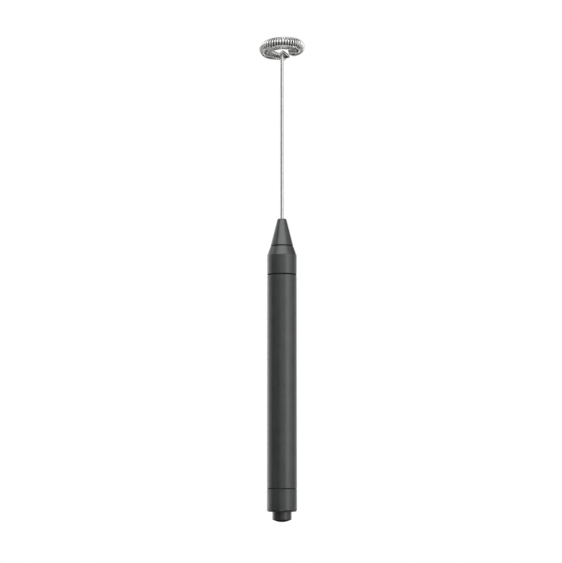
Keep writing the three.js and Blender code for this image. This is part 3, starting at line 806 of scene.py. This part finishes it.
def softened(node, width):
    """A copy of the CAD node with its edges rounded off."""
    piece = bpy.data.objects.new("fine_" + node, frame["nodes"][node].data.copy())
    bpy.context.scene.collection.objects.link(piece)
    piece.data.materials.clear()
    bm = bmesh.new()
    bm.from_mesh(piece.data)
    bmesh.ops.remove_doubles(bm, verts=bm.verts, dist=SAME_POINT)
    bmesh.ops.dissolve_limit(bm, angle_limit=FLAT, verts=bm.verts, edges=bm.edges)
    sharp = [edge for edge in bm.edges if edge.calc_face_angle(0) > CORNER]
    bmesh.ops.bevel(
        bm, geom=sharp, offset=width, segments=BEVEL_SEGMENTS, affect="EDGES", profile=0.5,
    )
    bm.to_mesh(piece.data)
    bm.free()
    piece.data.shade_smooth()
    piece.data.set_sharp_from_angle(angle=CREASE)
    return take_over(piece, node)


EDGE_WIDTHS = {
    "motor_end_bell": 0.06 * MM,
    "switch_retaining_ring": 0.06 * MM,
    "motor_brush_plus": 0.05 * MM,
    "motor_brush_minus": 0.05 * MM,
    "motor_magnet_north": 0.05 * MM,
    "motor_magnet_south": 0.05 * MM,
    "motor_armature": 0.04 * MM,
}
for node, width in EDGE_WIDTHS.items():
    softened(node, width)


# ---- the whisk, along the same curves as in the CAD ----

WIRE_RADIUS = 0.81 * MM
STEM_FOOT_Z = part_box("whisk_wire")[0].z
SPOKE_HEIGHT = 82.05 * MM  # of the stem's top, above the nose's tip
SPOKE_DROP = 0.85 * MM  # from the stem to the ring
SPOKE_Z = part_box("nose_cone")[1].z + SPOKE_HEIGHT
RING_START_Z = SPOKE_Z - SPOKE_DROP
SPOKE_AZIMUTH = radians(64)
STEM_BEND = 1.8 * MM
SPOKE_BEND = 1.3 * MM
RING_RADIUS = 8 * MM
RING_RISE = 3 * MM  # the ring climbs like one turn of a helix
RING_LEAN = radians(4.1)
RING_LEAN_AZIMUTH = radians(-97)  # the side that leans up
RING_END = radians(354)  # from the spoke, round to the wire's end
BEND_CENTRE = RING_RADIUS - SPOKE_BEND
RING_START = asin(SPOKE_BEND / BEND_CENTRE)

STEM_ROWS = 24
BEND_ROWS = 12
SPOKE_ROWS = 6
RING_ROWS = 180
WIRE_SIDES = 20

COIL_RADIUS = 2.8 * MM  # to the middle of the spring wire
COIL_FIRST_RADIUS = 1.6 * MM  # at its first turns, by the spoke
COIL_WIDENING = 0.4  # the share of its length over which it widens
COIL_WIRE_RADIUS = 0.28 * MM
COIL_TURNS = 48
COIL_START = radians(10)  # from the spoke
COIL_END = radians(351)
COIL_GRIP_RADIUS = 1.22 * MM  # the end turns close down on to the ring
COIL_GRIP_TURNS = 0.4
COIL_ROWS_PER_TURN = 28
COIL_SIDES = 10


def ring_point(angle):
    """A point on the ring's centreline, at an angle counted from the spoke."""
    start = around(RING_RADIUS, SPOKE_AZIMUTH + RING_START)
    point = around(RING_RADIUS, SPOKE_AZIMUTH + angle)
    uphill = around(1, RING_LEAN_AZIMUTH)
    lean = (point - start).dot(uphill) * tan(RING_LEAN)
    point.z = RING_START_Z + RING_RISE * (angle - RING_START) / FULL_TURN + lean
    return point


def whisk_wire():
    """One wire: up the stem, over into the spoke, round a bend and along the ring."""
    stem_top = Vector((0, 0, SPOKE_Z - STEM_BEND))
    corner = Vector((0, 0, SPOKE_Z))
    spoke_length = BEND_CENTRE * cos(RING_START)
    spoke_end = around(spoke_length, SPOKE_AZIMUTH, RING_START_Z)
    spoke_start = corner.lerp(spoke_end, STEM_BEND / spoke_length)
    bend_centre = around(BEND_CENTRE, SPOKE_AZIMUTH + RING_START, RING_START_Z)
    points = [Vector((0, 0, STEM_FOOT_Z)).lerp(stem_top, i / STEM_ROWS) for i in range(STEM_ROWS)]
    points += [bend(stem_top, corner, spoke_start, i / BEND_ROWS) for i in range(BEND_ROWS)]
    points += [spoke_start.lerp(spoke_end, i / SPOKE_ROWS) for i in range(SPOKE_ROWS)]
    for i in range(BEND_ROWS):
        azimuth = SPOKE_AZIMUTH - pi / 2 + (pi / 2 + RING_START) * i / BEND_ROWS
        points.append(bend_centre + around(SPOKE_BEND, azimuth))
    for i in range(RING_ROWS + 1):
        points.append(ring_point(RING_START + (RING_END - RING_START) * i / RING_ROWS))
    wire = take_over(swept("fine_whisk_wire", points, WIRE_RADIUS, WIRE_SIDES), "whisk_wire")
    # Painted shade: the ring's wire beyond the bend, inside the coil, is coloured near black for the
    # coil's shade.
    repaint(wire, "ring_steel_painted_shade", lambda face: off_axis(face) > BEND_CENTRE)


def whisk_coil():
    """The spring wound round the ring, widening from the spoke on, its end turns closed down on to
    the wire."""
    steps = COIL_TURNS * COIL_ROWS_PER_TURN
    points = []
    for i in range(steps + 1):
        t = i / steps
        angle = COIL_START + (COIL_END - COIL_START) * t
        turn = FULL_TURN * COIL_TURNS * t
        opening = smooth(min(t, 1 - t) * COIL_TURNS / COIL_GRIP_TURNS)
        widening = smooth(t / COIL_WIDENING)
        open_radius = COIL_FIRST_RADIUS + (COIL_RADIUS - COIL_FIRST_RADIUS) * widening
        radius = COIL_GRIP_RADIUS + (open_radius - COIL_GRIP_RADIUS) * opening
        offset = around(radius * cos(turn), SPOKE_AZIMUTH + angle, radius * sin(turn))
        points.append(ring_point(angle) + offset)
    coil = take_over(swept("fine_whisk_coil", points, COIL_WIRE_RADIUS, COIL_SIDES), "whisk_coil")
    # This material paints shade on the coil's inner side.
    coil.data.materials[0] = MATERIALS["coil_painted_shade"]


whisk_wire()
whisk_coil()


# ---- the CAD nodes that stay ----

for name, node in frame["nodes"].items():
    if not node.hide_render:
        node.data.materials.clear()
        node.data.materials.append(MATERIALS[slot_of[name]])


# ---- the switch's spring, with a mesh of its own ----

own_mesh(switch_spring)


# ---- studio ----

TARGET = Vector((0, 0, 0.03))  # in the upper half of the handle
SOFTBOX_DISTANCE = 1.6
ROOM_LEVEL = 0.05

FLOOR_Z = -0.9  # so far down that the frother can be looked at from below
FLOOR_HALF_WIDTH = 6

CAMERA_PITCH = 0.11  # upwards, in radians
CAMERA_DISTANCE = 0.805
CAMERA_LENS = 108
CAMERA_NEAR = 0.01
AIM_ABOVE_FOOT = 0.1136  # the point in the middle of the picture
AIM_LEFT = 0.00044


def studio_world():
    """White to the camera, and a soft grey room to everything else."""
    world = bpy.data.worlds.new("studio")
    bpy.context.scene.world = world
    world.use_nodes = True
    nodes, links = world.node_tree.nodes, world.node_tree.links
    nodes.clear()
    white = nodes.new("ShaderNodeBackground")
    white.inputs["Color"].default_value = (1, 1, 1, 1)
    room = nodes.new("ShaderNodeBackground")
    room.inputs["Color"].default_value = (1, 1, 1, 1)
    room.inputs["Strength"].default_value = ROOM_LEVEL
    path = nodes.new("ShaderNodeLightPath")
    mix = nodes.new("ShaderNodeMixShader")
    output = nodes.new("ShaderNodeOutputWorld")
    links.new(path.outputs["Is Camera Ray"], mix.inputs["Fac"])
    links.new(room.outputs["Background"], mix.inputs[1])
    links.new(white.outputs["Background"], mix.inputs[2])
    links.new(mix.outputs["Shader"], output.inputs["Surface"])


def softbox(name, azimuth, elevation, width, height, level):
    """An area light turned to the frother, as bright as a white wall times its level; azimuth 0 is the
    camera's side, and it grows to the camera's right."""
    a, e = radians(azimuth), radians(elevation)
    direction = Vector((sin(a) * cos(e), -cos(a) * cos(e), sin(e)))
    data = bpy.data.lights.new(name, "AREA")
    data.shape = "RECTANGLE"
    data.size = width
    data.size_y = height
    data.energy = level * pi * width * height
    lamp = bpy.data.objects.new(name, data)
    lamp.location = TARGET + direction * SOFTBOX_DISTANCE
    lamp.rotation_euler = direction.to_track_quat("Z", "Y").to_euler()
    lamp.visible_camera = False
    bpy.context.scene.collection.objects.link(lamp)


def softboxes():
    """An upright key on the right, dim boxes round the front, and boxes behind on each side that draw
    the bright edges. The high boxes light the slopes, the low ones the underside of the whisk's coil,
    and the ones at the back give the far side some shape."""
    softbox("key", 45, 4, 0.86, 1.0, 1.5)
    softbox("front", 5, 4, 1.3, 1.0, 0.5)
    softbox("left_front", -55, 4, 1.5, 1.0, 0.2)
    softbox("left", -105, 4, 0.86, 1.0, 0.75)
    softbox("left_back", -140, 4, 0.86, 1.0, 2.0)
    softbox("right", 75, 4, 0.86, 1.0, 0.8)
    softbox("right_side", 105, 4, 0.86, 1.0, 0.45)
    softbox("right_back", 137, 4, 0.86, 1.0, 0.9)
    softbox("back", 180, 15, 1.4, 1.0, 0.5)
    softbox("back_strip", 180, 6, 0.5, 1.0, 2.0)
    softbox("low_back_left", -118, -22, 0.5, 0.5, 1.6)
    softbox("low_back_right", 118, -22, 0.5, 0.5, 1.2)
    softbox("high_front", 0, 40, 2.6, 0.95, 2.1)
    softbox("high_right", 80, 40, 1.6, 0.95, 0.6)
    softbox("high_left", -110, 40, 1.6, 0.95, 1.0)
    softbox("top", 0, 85, 1.2, 1.2, 0.8)
    softbox("low_front", 0, -50, 0.9, 0.9, 2.0)
    softbox("low_left", -90, -50, 1.2, 1.2, 0.4)
    softbox("low_right", 90, -50, 1.2, 1.2, 0.55)


def floor():
    """A pale floor that glows, so that it meets the white room without a line."""
    corners = ((-1, -1), (1, -1), (1, 1), (-1, 1))
    verts = [(x * FLOOR_HALF_WIDTH, y * FLOOR_HALF_WIDTH, FLOOR_Z) for x, y in corners]
    piece = mesh_object("floor", verts, [(0, 1, 2, 3)])
    finish = Finish("floor", 0.9, Emission_Color=(1, 1, 1, 1), Emission_Strength=1.0)
    finish.colour(finish.noise(3), (0.84, 0.84, 0.84), (0.86, 0.86, 0.86))
    piece.data.materials.append(finish.material)
    piece.visible_glossy = False
    piece.visible_diffuse = False


def camera():
    """A long lens, below the frother's middle and looking slightly up at it."""
    aim = Vector((-AIM_LEFT, 0, cad_box[0][2] + AIM_ABOVE_FOOT))
    towards = Vector((0, cos(CAMERA_PITCH), sin(CAMERA_PITCH)))
    data = bpy.data.cameras.new("camera")
    data.lens = CAMERA_LENS
    data.clip_start = CAMERA_NEAR
    piece = bpy.data.objects.new("camera", data)
    piece.location = aim - towards * CAMERA_DISTANCE
    piece.rotation_euler = (pi / 2 + CAMERA_PITCH, 0, 0)
    bpy.context.scene.collection.objects.link(piece)
    bpy.context.scene.camera = piece


studio_world()
floor()
softboxes()
camera()
bpy.context.scene.view_settings.view_transform = "Standard"
